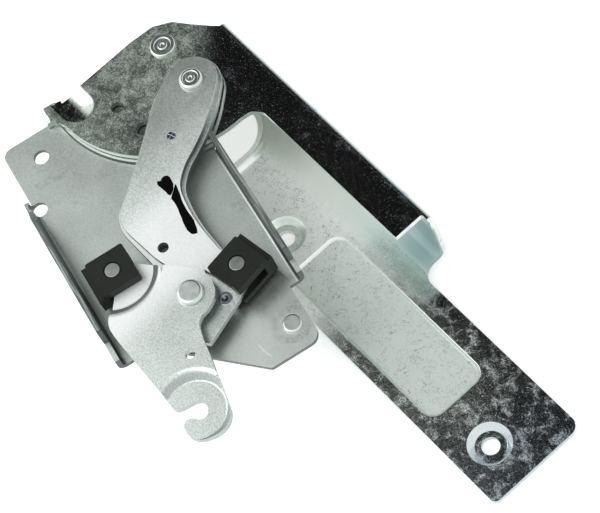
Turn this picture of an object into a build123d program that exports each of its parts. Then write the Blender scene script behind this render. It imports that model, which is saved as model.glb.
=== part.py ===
from build123d import *
import os
from math import acos, atan2, cos, hypot, radians, sin, tan

# Dishwasher door hinge, lying with its hinge axis upright (+Z) as in the photograph.
# The working plan has its origin on the hinge axis and +X along the door arm.
# Base-bracket shapes are drawn along their slide and turned into place by SLIDE_ANGLE.
# On export everything moves so that the bracket's screw hole is the origin.

# Driving dimensions, mm and degrees
SLIDE_ANGLE = 11.0
BASE_T = 2.0
ARM_T = 2.5
LEVER_T = 2.5
HOOK_T = 2.5
WASHER_T = 0.5
CRANK_WASHER_T = 1.2
WASHER_R = 8.5
PLAY = 0.1
RUN_FIT = 0.05

BASE_TOP = 1.0
BASE_LEFT = -80.0
BASE_RIGHT = -2.2
FLANGE_H = 14.0
FLANGE_LOW_H = 6.0
FLANGE_BEND = 1.5
LEFT_START = 30.0
LEFT_END = 113.0
RIGHT_START = 52.5
RIGHT_END = 121.5
FOOT_END = 147.0
FOOT_RIGHT = -9.0
LOBE_R = 9.5
EMBOSS_R = 52.6
EMBOSS_H = 1.0
SCREW_HOLE_R = 3.2
SCREW_HOLE_BX = 12.3
SCREW_HOLE_BY = -64.6
RELIEF_R = 3.2
FOOT_RIVET_BX = 135.8
FOOT_RIVET_BY = -15.7
FOOT_RIVET_R = 2.4

PIVOT_R = 4.0
PIVOT_HEAD_R = 5.3
PIVOT_HEAD_H = 0.9
RIVET_HEAD_H = 1.9
DISC_R = 49.5
ARM_LEFT = -11.5
ARM_OUTER = 25.0
FLANGE_INNER = 8.8
WEB_START = 12.0
WEB_END = 137.0
STRIP_START = 20.0
TRAY_START = 48.75
STRIP_EDGE = 13.0
CORNER_R = 16.0
LIP_BEND = 4.2
LIP_TURN = 70.0
TRAY_LEFT = -32.0
END_RIGHT = 11.0
ARM_END = 227.5
ARM_DEPTH = 30.0
TOP_BEND = 3.0
FLOOR_BEND = 4.0
PANEL_X0 = 100.0
PANEL_X1 = 187.0
PANEL_Y0 = -27.0
PANEL_Y1 = 0.8
PANEL_DEPTH = 1.2
DOOR_HOLE_R = 3.6
DIMPLE_R = 9.3
DIMPLE_DEPTH = 2.6
DOOR_HOLE_LOW = (208.6, -17.4)
DOOR_HOLE_HIGH = (85.6, -15.6)
STOP_R = 56.0
STOP_ANGLE = -101.8
STOP_HALF = 3.6
STOP_GAP = 0.4
STOP_BEND = 2.0
GROOVE_Y = -42.0
GROOVE_R = 18.5
GROOVE_DEPTH = 1.5
GROOVE_END = -4.5

CRANK = (25.2, -3.0)
CRANK_R = 3.5
CRANK_HEAD_R = 4.9
CRANK_TAIL = 1.0
HOOK_PIVOT = (99.0, -62.2)
HOOK_PIVOT_R = 3.6
HOOK_HEAD_R = 5.3
RIGHT_PIN = (103.0, -42.0)
LEFT_PIN = (69.7, -77.6)
PIN_R = 3.0
BLOCK_SIDE = 16.4
BLOCK_LEDGE = 2.3
BLOCK_LEDGE_DROP = 2.0
BLOCK_JAW_UP = 4.0
BLOCK_JAW_LOW = 2.8
BLOCK_WALL = 2.4
SLOT_PLAY = 0.2
RIGHT_BLOCK_ANGLE = 8.0
TAIL_HOLE = (107.6, -53.6)
CLINCH = (38.9, -24.5)
CLINCH_R = 1.7
CLINCH_H = 0.35
LEVER_HOLE = (74.4, -57.2)
LEVER_HOLE_R = 2.1
LEVER_TOP_R = 10.6
LEVER_CORNER = 0.8
LOWER_MARGIN = 1.1
HOOK_HOLE = (118.4, -78.0)
HOOK_HOLE_R = 1.9
HOOK_CORNER = 1.4
EAR_STEP_R = 15.9
TIP_STEP_R = 12.9
TIP_CENTER = (136.0, -90.6)
STEP_RUN = 3.2
STEP_BEND = 1.0
HOOK_FLAT_X = 105.0

# Heights of the stack, from the bracket's underside
Z_BASE = BASE_T
Z_EMBOSS = Z_BASE + EMBOSS_H
Z_ARM = Z_EMBOSS + WASHER_T + PLAY
Z_ARM_TOP = Z_ARM + ARM_T
Z_LOW = Z_ARM_TOP + CRANK_WASHER_T + PLAY
Z_UP = Z_LOW + LEVER_T
Z_UP_TOP = Z_UP + LEVER_T
Z_HOOK = Z_UP_TOP + WASHER_T + PLAY
Z_HOOK_TOP = Z_HOOK + HOOK_T
Z_EAR = Z_UP + 3 * PLAY
Z_FLOOR_TOP = Z_ARM_TOP - ARM_DEPTH
Z_FLOOR = Z_FLOOR_TOP - ARM_T
HEAD_DISH = 0.4

# Outline bends: arcs below the first angle, square corners above the second
GENTLE_TURN = 60.0
SQUARE_TURN = 80.0


def bend_radii(points, corner):
    radii = []
    for i, point in enumerate(points):
        before = Vector(*point) - Vector(*points[i - 1])
        after = Vector(*points[(i + 1) % len(points)]) - Vector(*point)
        turn = before.get_angle(after)
        widest = 0.45 * min(before.length, after.length) / tan(radians(turn) / 2)
        if turn > SQUARE_TURN:
            radii.append(0)
        elif turn > GENTLE_TURN:
            radii.append(min(corner, widest))
        else:
            radii.append(widest)
    return radii


# A stamped blank: gentle bends of the outline become long arcs, sharper ones get the corner radius
def plate(points, z0, thick, corner):
    outline = FilletPolyline(*points, radius=bend_radii(points, corner), close=True)
    return extrude(Pos(0, 0, z0) * make_face(outline), thick)


# Where a line from start touches the circle round spot, on the side asked for
def tangent_point(spot, radius, start, side):
    dx, dy = start[0] - spot[0], start[1] - spot[1]
    angle = atan2(dy, dx) + side * acos(radius / hypot(dx, dy))
    return (spot[0] + radius * cos(angle), spot[1] + radius * sin(angle))


def rod(x, y, z0, z1, radius):
    return Pos(x, y, (z0 + z1) / 2) * Cylinder(radius, z1 - z0)


def ring(x, y, z0, z1, outer, inner):
    return rod(x, y, z0, z1, outer) - rod(x, y, z0 - 1, z1 + 1, inner)


def block(x0, x1, y0, y1, z0, z1):
    return Pos((x0 + x1) / 2, (y0 + y1) / 2, (z0 + z1) / 2) * Box(x1 - x0, y1 - y0, z1 - z0)


def rivet_head(x, y, z0, radius, height):
    head = rod(x, y, z0, z0 + height, radius)
    return fillet(head.edges().group_by(Axis.Z)[-1], min(0.7 * height, 0.3 * radius))


def spun_head(x, y, z0, radius, height):
    top = z0 + height
    head = rivet_head(x, y, z0, radius, height)
    head = head - ring(x, y, top - HEAD_DISH, top + 1, 0.66 * radius, 0.36 * radius)
    return head - rod(x, y, top - HEAD_DISH, top + 1, 0.16 * radius)


def one(shape):
    solids = shape.solids()
    if len(solids) != 1:
        raise ValueError("a part came out in %d pieces" % len(solids))
    return solids[0]


def to_plan(bx, by):
    a = radians(-SLIDE_ANGLE)
    return (bx * cos(a) - by * sin(a), bx * sin(a) + by * cos(a))


ORIGIN = to_plan(SCREW_HOLE_BX, SCREW_HOLE_BY)


# Base bracket: flat plate, raised turntable round the pivot, two folded flanges
def flange(outer, inward, start, end, tall0, tall1, ramp0, ramp1):
    height = Z_BASE + FLANGE_H
    low = Z_BASE + FLANGE_LOW_H
    reach = BASE_T + FLANGE_BEND
    corner = [
        (0, 0),
        (reach, 0),
        (reach, BASE_T),
        (BASE_T, BASE_T),
        (BASE_T, height),
        (0, height),
    ]
    face = make_face(Polyline(*corner, close=True))
    inner = face.vertices().sort_by_distance((BASE_T, BASE_T))[0]
    face = fillet(inner, FLANGE_BEND * 0.98)
    outside = face.vertices().sort_by_distance((0, 0))[0]
    face = fillet(outside, FLANGE_BEND + BASE_T * 0.9)
    across = Plane(origin=(start, outer, 0), x_dir=(0, inward, 0), z_dir=(inward, 0, 0))
    bar = extrude(across * face, inward * (end - start))
    side = [
        (start, -1),
        (end, -1),
        (end, low),
        (tall1 + ramp1, low),
        (tall1, height + 1),
        (tall0, height + 1),
        (tall0 - ramp0, low),
        (start, low - 2),
    ]
    mask = make_face(Polyline(*side, close=True))
    along = Plane(origin=(0, outer - inward, 0), x_dir=(1, 0, 0), z_dir=(0, -1, 0))
    return bar & extrude(along * mask, -inward * (reach + 2))


def make_base():
    reach = BASE_T + FLANGE_BEND - 0.01
    left = BASE_LEFT + reach
    right = BASE_RIGHT - reach
    tab = BASE_LEFT + 2.3
    outline = [
        (BASE_TOP, tab),
        (LEFT_START, tab),
        (LEFT_START + 0.01, left),
        (LEFT_END, left),
        (LEFT_END, BASE_LEFT + 15),
        (FOOT_END - 2.5, FOOT_RIGHT - 24.5),
        (FOOT_END, FOOT_RIGHT - 22),
        (FOOT_END, FOOT_RIGHT),
        (RIGHT_END, FOOT_RIGHT),
        (RIGHT_END - 0.01, right),
        (RIGHT_START, right),
        (RIGHT_START - 4, BASE_RIGHT - 1),
        (3, LOBE_R - 0.2),
        (BASE_TOP, -LOBE_R + 1.5),
    ]
    face = make_face(Polyline(*outline, close=True))
    soft = [
        (BASE_TOP, tab, 4.0),
        (FOOT_END, FOOT_RIGHT, 5.0),
        (FOOT_END, FOOT_RIGHT - 22, 1.6),
        (FOOT_END - 2.5, FOOT_RIGHT - 24.5, 1.6),
    ]
    for x, y, radius in soft:
        face = fillet(face.vertices().sort_by_distance((x, y))[0], radius)
    base = extrude(face, BASE_T) + rod(0, 0, 0, BASE_T, LOBE_R)
    tall = extrude(face, Z_EMBOSS) + rod(0, 0, 0, Z_EMBOSS, LOBE_R)
    lift = Pos(0, 0, Z_EMBOSS / 2) * Cone(EMBOSS_R + 0.6, EMBOSS_R - 1.4, Z_EMBOSS)
    base = base + (tall & lift)
    base = base - rod(0, 0, -1, EMBOSS_H, EMBOSS_R - 4.5)
    ramp = 0.65 * FLANGE_H
    base = base + flange(BASE_LEFT, 1, LEFT_START, LEFT_END, LEFT_START + 15, LEFT_END - 11, ramp, 2)
    base = base + flange(BASE_RIGHT, -1, RIGHT_START, RIGHT_END, RIGHT_START + 0.5, RIGHT_END - 8, 0.3, 2)
    base = base - rod(SCREW_HOLE_BX, SCREW_HOLE_BY, -1, Z_BASE + 1, SCREW_HOLE_R)
    base = base - rod(LEFT_START + 3.2, BASE_LEFT + 4.3, -1, Z_BASE + FLANGE_H, RELIEF_R)
    base = base - rod(0, 0, -1, Z_EMBOSS + 1, PIVOT_R)
    base = base - rod(FOOT_RIVET_BX, FOOT_RIVET_BY, -1, Z_BASE + 1, FOOT_RIVET_R)
    return Rot(0, 0, -SLIDE_ANGLE) * one(base)


def make_foot_rivet():
    x, y = FOOT_RIVET_BX, FOOT_RIVET_BY
    body = rod(x, y, -1.4, Z_BASE + 0.5, FOOT_RIVET_R) + rod(x, y, -1.4, 0, FOOT_RIVET_R + 1.8)
    return Rot(0, 0, -SLIDE_ANGLE) * one(body + rivet_head(x, y, Z_BASE, FOOT_RIVET_R + 1.4, 1.1))


def make_pivot_rivet():
    body = rod(0, 0, EMBOSS_H - 1.6, Z_ARM_TOP + 2 * PLAY, PIVOT_R)
    body = body + rod(0, 0, EMBOSS_H - 1.6, EMBOSS_H, PIVOT_HEAD_R + 0.5)
    return one(body + spun_head(0, 0, Z_ARM_TOP + PLAY, PIVOT_HEAD_R, PIVOT_HEAD_H))


# Door arm: one folded sheet with the disc plate, side web and tray floor
def on_disc(angle, radius=DISC_R):
    return (radius * cos(radians(angle)), radius * sin(radians(angle)))


def make_arm_top():
    bend = ARM_OUTER - TOP_BEND
    lower = Polyline((ARM_LEFT, -DISC_R - 3.5), (ARM_LEFT + 6.5, -DISC_R - 2.0), on_disc(-90, DISC_R + 0.9))
    sweep = ThreePointArc(on_disc(-90, DISC_R + 0.9), on_disc(-45, DISC_R + 0.3), on_disc(1))
    rest = Polyline(
        on_disc(1),
        (DISC_R + 0.8, 5.4),
        (DISC_R + 5.0, FLANGE_INNER),
        (WEB_END - 3, FLANGE_INNER),
        (WEB_END - 3, bend - 0.5),
        (WEB_END - 2.4, bend),
        (10.5, bend),
        (7.8, 19.6),
        (0.6, 14.2),
        (-6.0, 9.8),
        (-10.4, 2.6),
        (ARM_LEFT, -8),
        (ARM_LEFT, -DISC_R - 3.5),
    )
    face = make_face(lower + sweep + rest)
    soft = [
        (7.8, 19.6, 4.0),
        (0.6, 14.2, 6.0),
        (-6.0, 9.8, 6.0),
        (-10.4, 2.6, 6.0),
        (DISC_R + 0.8, 5.4, 2.5),
        (DISC_R + 5.0, FLANGE_INNER, 3.5),
    ]
    for x, y, radius in soft:
        face = fillet(face.vertices().sort_by_distance((x, y))[0], radius)
    return extrude(Pos(0, 0, Z_ARM) * face, ARM_T)


def make_arm_web():
    outer = ARM_OUTER
    inner = outer - ARM_T
    bend = outer - TOP_BEND - 0.01
    lip = outer - FLOOR_BEND - ARM_T - 1
    section = [
        (bend, Z_ARM_TOP),
        (outer, Z_ARM_TOP),
        (outer, Z_FLOOR),
        (lip, Z_FLOOR),
        (lip, Z_FLOOR_TOP),
        (inner, Z_FLOOR_TOP),
        (inner, Z_ARM),
        (bend, Z_ARM),
    ]
    face = make_face(Polyline(*section, close=True))
    face = fillet(face.vertices().sort_by_distance((outer, Z_ARM_TOP))[0], TOP_BEND * 0.98)
    face = fillet(face.vertices().sort_by_distance((outer, Z_FLOOR))[0], FLOOR_BEND + ARM_T * 0.5)
    face = fillet(face.vertices().sort_by_distance((inner, Z_FLOOR_TOP))[0], FLOOR_BEND)
    along = Plane(origin=(10.5, 0, 0), x_dir=(0, 1, 0), z_dir=(1, 0, 0))
    web = extrude(along * face, WEB_END - 10.5)
    taper = make_face(Polyline((9, Z_ARM - 6), (WEB_START + 6, Z_FLOOR - 1), (9, Z_FLOOR - 1), close=True))
    side = Plane(origin=(0, outer + 1, 0), x_dir=(1, 0, 0), z_dir=(0, -1, 0))
    return web - extrude(side * taper, ARM_OUTER)


# Lip turned up along the tray's start, round its open corner and along the strip under the web
def make_tray_lip(run):
    inner, outer = LIP_BEND, LIP_BEND + ARM_T
    arc = Circle(outer) - Circle(inner)
    wedge = make_face(Polyline((0, 0), (0, -2 * outer), on_disc(-90 - LIP_TURN, 2 * outer), close=True))
    section = Pos(run, LIP_BEND) * (arc & wedge)
    corner = (TRAY_START - CORNER_R, STRIP_EDGE - CORNER_R)
    upright = Plane(origin=(TRAY_START, corner[1], Z_FLOOR_TOP), x_dir=(1, 0, 0), z_dir=(0, -1, 0))
    lip = extrude(upright * section, corner[1] - TRAY_LEFT)
    lip = lip + revolve(upright * section, Axis((corner[0], corner[1], 0), (0, 0, 1)), 90)
    along = Plane(origin=(corner[0], STRIP_EDGE, Z_FLOOR_TOP), x_dir=(0, 1, 0), z_dir=(1, 0, 0))
    return lip + extrude(along * section, STRIP_START - corner[0])


def make_arm_tray():
    strip = ARM_OUTER - FLOOR_BEND - ARM_T
    run = LIP_BEND * sin(radians(LIP_TURN))
    outline = [
        (TRAY_START + run, TRAY_LEFT),
        (ARM_END, TRAY_LEFT),
        (ARM_END, END_RIGHT),
        (WEB_END, END_RIGHT),
        (WEB_END, strip),
        (STRIP_START, strip),
        (STRIP_START, STRIP_EDGE + run),
        (TRAY_START + run, STRIP_EDGE + run),
    ]
    face = make_face(Polyline(*outline, close=True))
    soft = [
        (ARM_END, END_RIGHT, 4.5),
        (ARM_END, TRAY_LEFT, 2.5),
        (WEB_END, END_RIGHT, min(9.0, 0.95 * (strip - END_RIGHT))),
        (TRAY_START + run, STRIP_EDGE + run, CORNER_R + run),
    ]
    for x, y, radius in soft:
        face = fillet(face.vertices().sort_by_distance((x, y))[0], radius)
    tray = extrude(Pos(0, 0, Z_FLOOR) * face, ARM_T) + make_tray_lip(run)
    wide, high = PANEL_X1 - PANEL_X0, PANEL_Y1 - PANEL_Y0
    spot = Pos((PANEL_X0 + PANEL_X1) / 2, (PANEL_Y0 + PANEL_Y1) / 2, 0)
    press = extrude(spot * Pos(0, 0, Z_FLOOR - PANEL_DEPTH) * RectangleRounded(wide, high, 6.0), ARM_T)
    hollow = extrude(spot * Pos(0, 0, Z_FLOOR_TOP) * RectangleRounded(wide, high, 6.0), -PANEL_DEPTH, taper=40)
    tray = tray + press - hollow
    for x, y in (DOOR_HOLE_LOW, DOOR_HOLE_HIGH):
        boss = Pos(x, y, Z_FLOOR - DIMPLE_DEPTH / 2) * Cone(DIMPLE_R - 2.0, DIMPLE_R, DIMPLE_DEPTH)
        bowl = Pos(x, y, Z_FLOOR_TOP - DIMPLE_DEPTH / 2) * Cone(DIMPLE_R - 3.2, DIMPLE_R - 0.6, DIMPLE_DEPTH)
        tray = tray + boss - bowl
        tray = tray - rod(x, y, Z_FLOOR - DIMPLE_DEPTH - 1, Z_FLOOR_TOP, DOOR_HOLE_R)
    return tray


def make_arm():
    arm = make_arm_top() + make_arm_web() + make_arm_tray()
    # stop tab folded down at the tip of the disc
    leg = block(STOP_R - ARM_T, STOP_R, -STOP_HALF, STOP_HALF, Z_BASE + STOP_GAP, Z_ARM_TOP)
    bridge = block(DISC_R - 3, STOP_R, -STOP_HALF, STOP_HALF, Z_ARM, Z_ARM_TOP)
    tab = leg + bridge
    tab = fillet(tab.edges().filter_by(Axis.Y).group_by(Axis.X)[-1].group_by(Axis.Z)[-1], STOP_BEND)
    arm = arm + Rot(0, 0, STOP_ANGLE) * tab
    # stiffening groove and holes of the disc plate
    over = Z_ARM_TOP + GROOVE_R - GROOVE_DEPTH
    run = GROOVE_END - ARM_LEFT + 2
    trough = Pos(GROOVE_END - run / 2, GROOVE_Y, over) * Rot(0, 90, 0) * Cylinder(GROOVE_R, run)
    arm = arm - trough - Pos(GROOVE_END, GROOVE_Y, over) * Sphere(GROOVE_R)
    oval = SlotOverall(5.6, 4.6, rotation=35)
    arm = arm - extrude(Pos(8.2, -30.6, Z_ARM - 1) * oval, ARM_T + 2)
    arm = arm - rod(23.7, -29.2, Z_ARM - 1, Z_ARM_TOP + 1, 3.0)
    arm = arm - rod(0, 0, Z_ARM - 1, Z_ARM_TOP + 1, PIVOT_R + RUN_FIT)
    arm = arm - rod(CRANK[0], CRANK[1], Z_ARM - 1, Z_ARM_TOP + 1, CRANK_R + RUN_FIT)
    arm = arm - rod(CRANK[0], CRANK[1], Z_ARM - 1, Z_ARM + CRANK_TAIL + PLAY, CRANK_HEAD_R + PLAY)
    return one(arm)


# Lever: two stacked plates from the crank pin to the right block and the hook rivet
LEVER_LEFT = [
    (20.6, -18.8),
    (28.1, -27.8),
    (37.3, -40.4),
    (45.5, -52.6),
    (50.2, -60.4),
    (57.0, -63.3),
]
LEVER_RIGHT = [
    (93.0, -42.4),
    (78.0, -41.4),
    (69.0, -39.8),
    (58.6, -36.4),
    (53.0, -29.3),
    (47.6, -16.3),
    (39.6, -3.9),
]
BLOCK_EAR = [
    (111.0, -48.2),
    (107.4, -40.4),
    (100.0, -38.2),
]
LEVER_TAIL = [
    (79.0, -64.4),
    (88.0, -72.0),
    (95.0, -76.0),
    (106.0, -76.6),
    (117.8, -69.6),
    (112.0, -50.4),
]
LEVER_FOOT = [
    (76.5, -62.2),
    (84.0, -60.4),
    (92.4, -63.4),
    (92.4, -69.0),
    (99.0, -71.4),
    (105.6, -67.0),
    (105.0, -58.6),
    (101.0, -54.8),
    (93.6, -51.8),
]


def make_lever_upper():
    neck = [tangent_point(CRANK, LEVER_TOP_R, LEVER_LEFT[0], -1)]
    neck_end = [tangent_point(CRANK, LEVER_TOP_R, LEVER_RIGHT[-1], 1)]
    outline = neck + LEVER_LEFT + LEVER_FOOT + BLOCK_EAR + LEVER_RIGHT + neck_end
    body = plate(outline, Z_UP, LEVER_T, LEVER_CORNER)
    body = body + rod(CRANK[0], CRANK[1], Z_UP, Z_UP_TOP, LEVER_TOP_R)
    body = body + rod(RIGHT_PIN[0], RIGHT_PIN[1], Z_UP, Z_UP_TOP, PIN_R + 2.2)
    for x, y, r in lever_holes():
        body = body - rod(x, y, Z_UP - 1, Z_UP_TOP + 1, r)
    return one(body)


def make_lever_lower():
    left = [(x - LOWER_MARGIN, y - LOWER_MARGIN) for x, y in LEVER_LEFT]
    right = [(x + LOWER_MARGIN, y + LOWER_MARGIN) for x, y in LEVER_RIGHT]
    top_r = LEVER_TOP_R + LOWER_MARGIN
    neck = [tangent_point(CRANK, top_r, left[0], -1)]
    neck_end = [tangent_point(CRANK, top_r, right[-1], 1)]
    outline = neck + left + LEVER_TAIL + BLOCK_EAR + right + neck_end
    body = plate(outline, Z_LOW, LEVER_T, LEVER_CORNER)
    body = body + rod(CRANK[0], CRANK[1], Z_LOW, Z_UP, top_r)
    body = body + rod(RIGHT_PIN[0], RIGHT_PIN[1], Z_LOW, Z_UP, PIN_R + 2.2)
    for x, y, r in lever_holes() + [(TAIL_HOLE[0], TAIL_HOLE[1], 2.0)]:
        body = body - rod(x, y, Z_LOW - 1, Z_UP + 1, r)
    return one(body)


def lever_holes():
    return [
        (CRANK[0], CRANK[1], CRANK_R),
        (HOOK_PIVOT[0], HOOK_PIVOT[1], HOOK_PIVOT_R),
        (RIGHT_PIN[0], RIGHT_PIN[1], PIN_R),
        (CLINCH[0], CLINCH[1], CLINCH_R),
        (LEVER_HOLE[0], LEVER_HOLE[1], LEVER_HOLE_R),
    ]


def make_crank_pin():
    x, y = CRANK
    body = rod(x, y, Z_ARM + PLAY, Z_UP_TOP + 0.5, CRANK_R)
    body = body + rod(x, y, Z_ARM + PLAY, Z_ARM + CRANK_TAIL, CRANK_HEAD_R)
    return one(body + spun_head(x, y, Z_UP_TOP, CRANK_HEAD_R, RIVET_HEAD_H))


def make_hook_rivet():
    x, y = HOOK_PIVOT
    body = rod(x, y, Z_LOW - 1.4, Z_HOOK_TOP + PLAY + 0.5, HOOK_PIVOT_R)
    body = body + rod(x, y, Z_LOW - 1.4, Z_LOW, HOOK_HEAD_R)
    return one(body + rivet_head(x, y, Z_HOOK_TOP + PLAY, HOOK_HEAD_R, RIVET_HEAD_H))


def make_clinch():
    x, y = CLINCH
    body = rod(x, y, Z_LOW, Z_UP_TOP + CLINCH_H, CLINCH_R)
    cut = Box(2 * CLINCH_R + 1, 0.45, 2 * CLINCH_H)
    for turn in (20, 110):
        body = body - Pos(x, y, Z_UP_TOP + CLINCH_H) * Rot(0, 0, turn) * cut
    return one(body)


def make_eyelet():
    x, y = TAIL_HOLE
    body = rod(x, y, Z_LOW, Z_UP + 0.5, 2.0) + rod(x, y, Z_UP, Z_UP + 0.5, 2.8)
    return one(body - rod(x, y, Z_LOW - 1, Z_UP + 1, 1.3))


# Hook lever: stepped plate with the block ear, the pivot boss and the spring hook
HOOK_MAIN = [
    (82.0, -61.9),
    (91.6, -54.4),
    (99.0, -52.0),
    (106.6, -55.4),
    (109.2, -61.6),
    (109.2, -65.0),
    (111.0, -67.8),
    (116.0, -70.2),
    (127.0, -73.8),
    (129.5, -79.0),
    (127.0, -86.0),
    (125.6, -95.9),
    (108.0, -95.0),
    (92.0, -94.2),
    (87.0, -93.4),
    (83.6, -91.0),
    (82.0, -88.4),
    (87.0, -82.0),
    (87.8, -76.0),
    (86.2, -68.5),
]
HOOK_TIP = [
    (125.6, -73.4),
    (135.4, -77.2),
    (147.0, -81.6),
    (150.2, -85.4),
    (150.2, -90.0),
    (146.6, -96.8),
    (142.4, -99.0),
    (138.0, -98.2),
    (136.2, -96.2),
    (137.0, -93.6),
    (140.2, -91.6),
    (140.8, -88.8),
    (138.4, -86.4),
    (134.8, -86.2),
    (133.2, -88.2),
    (132.0, -93.0),
    (130.8, -95.8),
    (128.6, -96.3),
    (122.0, -95.6),
    (122.4, -84.0),
]
HOOK_EAR = [
    (64.6, -80.0),
    (66.0, -72.6),
    (70.4, -70.0),
    (79.0, -63.8),
    (82.6, -63.4),
    (88.0, -70.0),
    (89.2, -76.0),
    (88.0, -83.0),
    (84.0, -90.0),
    (80.6, -87.6),
    (76.4, -83.0),
    (71.0, -83.4),
]


# Section of the stepped sheet: low up to start, then a ramp to the main level
def step_face(start, far):
    rise = Z_HOOK - Z_EAR
    shift = HOOK_T * tan(atan2(rise, STEP_RUN) / 2)
    section = [
        (0, Z_EAR),
        (start, Z_EAR),
        (start + STEP_RUN, Z_HOOK),
        (far, Z_HOOK),
        (far, Z_HOOK_TOP),
        (start + STEP_RUN - shift, Z_HOOK_TOP),
        (start - shift, Z_EAR + HOOK_T),
        (0, Z_EAR + HOOK_T),
    ]
    inside = STEP_BEND
    outside = STEP_BEND + HOOK_T
    radii = [0, outside, inside, 0, 0, outside, inside, 0]
    return make_face(FilletPolyline(*section, radius=radii, close=True))


# Stepped sheet that is low inside an arc round a spot
def round_step(spot, radius, reach):
    upright = Plane(origin=(spot[0], spot[1], 0), x_dir=(1, 0, 0), z_dir=(0, -1, 0))
    return revolve(upright * step_face(radius, reach), Axis((spot[0], spot[1], 0), (0, 0, 1)))


# The ear steps down round the left pin and the tip round the hook's throat
def make_hook():
    x, y = LEFT_PIN
    reach = HOOK_FLAT_X
    top = Z_HOOK_TOP + 1
    ear = round_step(LEFT_PIN, EAR_STEP_R, reach) & block(x - reach, HOOK_FLAT_X, y - reach, y + reach, 0, top)
    tip = round_step(TIP_CENTER, TIP_STEP_R, reach) & block(HOOK_FLAT_X, x + reach, y - reach, y + reach, 0, top)
    low, tall = Z_EAR - 1, Z_HOOK_TOP - Z_EAR + 2
    blank = plate(HOOK_MAIN, low, tall, HOOK_CORNER)
    blank = blank + plate(HOOK_EAR, low, tall, HOOK_CORNER)
    blank = blank + plate(HOOK_TIP, low, tall, HOOK_CORNER)
    body = blank & (ear + tip)
    body = body - rod(HOOK_PIVOT[0], HOOK_PIVOT[1], low, low + tall, HOOK_PIVOT_R + RUN_FIT)
    body = body - rod(x, y, low, low + tall, PIN_R)
    body = body - rod(HOOK_HOLE[0], HOOK_HOLE[1], low, low + tall, HOOK_HOLE_R)
    return one(body)


# Slide blocks: slotted plastic shoes on their pins, spine towards the flange
def make_block(pin, angle, plate_z, plate_t):
    half = BLOCK_SIDE / 2
    z0 = plate_z - SLOT_PLAY - BLOCK_JAW_LOW
    z1 = plate_z + plate_t + SLOT_PLAY + BLOCK_JAW_UP
    body = block(-half, half, -half, half, z0, z1)
    body = fillet(body.edges().filter_by(Axis.Z), 0.8)
    body = body + block(-half, half, half - 1, half + BLOCK_LEDGE, z0, z1 - BLOCK_LEDGE_DROP)
    slot0 = plate_z - SLOT_PLAY
    slot1 = plate_z + plate_t + SLOT_PLAY
    body = body - block(-half - 1, half + 1, -half - 1, half - BLOCK_WALL, slot0, slot1)
    body = body - rod(0, 0, z0 - 1, z1 + 1, PIN_R + RUN_FIT)
    body = body - rod(0, 0, z1 - 0.5, z1 + 1, PIN_R + 0.5)
    return one(Pos(pin[0], pin[1], 0) * Rot(0, 0, angle) * body)


def make_block_pin(pin, plate_z, plate_t):
    z0 = plate_z - SLOT_PLAY - BLOCK_JAW_LOW
    z1 = plate_z + plate_t + SLOT_PLAY + BLOCK_JAW_UP
    body = rod(pin[0], pin[1], z0, z1, PIN_R)
    return one(body)


def make_washer(spot, z0, thick, inner):
    return one(ring(spot[0], spot[1], z0, z0 + thick, WASHER_R, inner))


parts = {
    "base_bracket": make_base(),
    "foot_rivet": make_foot_rivet(),
    "pivot_rivet": make_pivot_rivet(),
    "pivot_washer": make_washer((0, 0), Z_EMBOSS, WASHER_T, PIVOT_R),
    "door_arm": make_arm(),
    "lever_lower": make_lever_lower(),
    "lever_upper": make_lever_upper(),
    "crank_pin": make_crank_pin(),
    "crank_washer": make_washer(CRANK, Z_LOW - CRANK_WASHER_T, CRANK_WASHER_T, CRANK_R),
    "lever_clinch": make_clinch(),
    "tail_eyelet": make_eyelet(),
    "hook_rivet": make_hook_rivet(),
    "hook_washer": make_washer(HOOK_PIVOT, Z_UP_TOP, WASHER_T, HOOK_PIVOT_R),
    "hook_lever": make_hook(),
    "right_slide_block": make_block(RIGHT_PIN, RIGHT_BLOCK_ANGLE, Z_LOW, 2 * LEVER_T),
    "right_block_pin": make_block_pin(RIGHT_PIN, Z_LOW, 2 * LEVER_T),
    "left_slide_block": make_block(LEFT_PIN, 180 - SLIDE_ANGLE, Z_EAR, HOOK_T),
    "left_block_pin": make_block_pin(LEFT_PIN, Z_EAR, HOOK_T),
}

os.makedirs("parts", exist_ok=True)
for name, solid in parts.items():
    solid = Pos(-ORIGIN[0], -ORIGIN[1], 0) * solid
    solid.label = name
    export_step(solid, "parts/" + name + ".step")
    box = solid.bounding_box()
    print(name, [round(v, 2) for v in box.min], [round(v, 2) for v in box.max])
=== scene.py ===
# %% [markdown]
# # A dishwasher door hinge
# This lesson dresses the hinge of a dishwasher door: a flanged base bracket, a folded door arm,
# a crank lever with two plastic slide blocks and a spring hook, all riveted together.
# The solids come from the CAD frame. Blender gives them rounded sheet edges and metal finishes.

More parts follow.
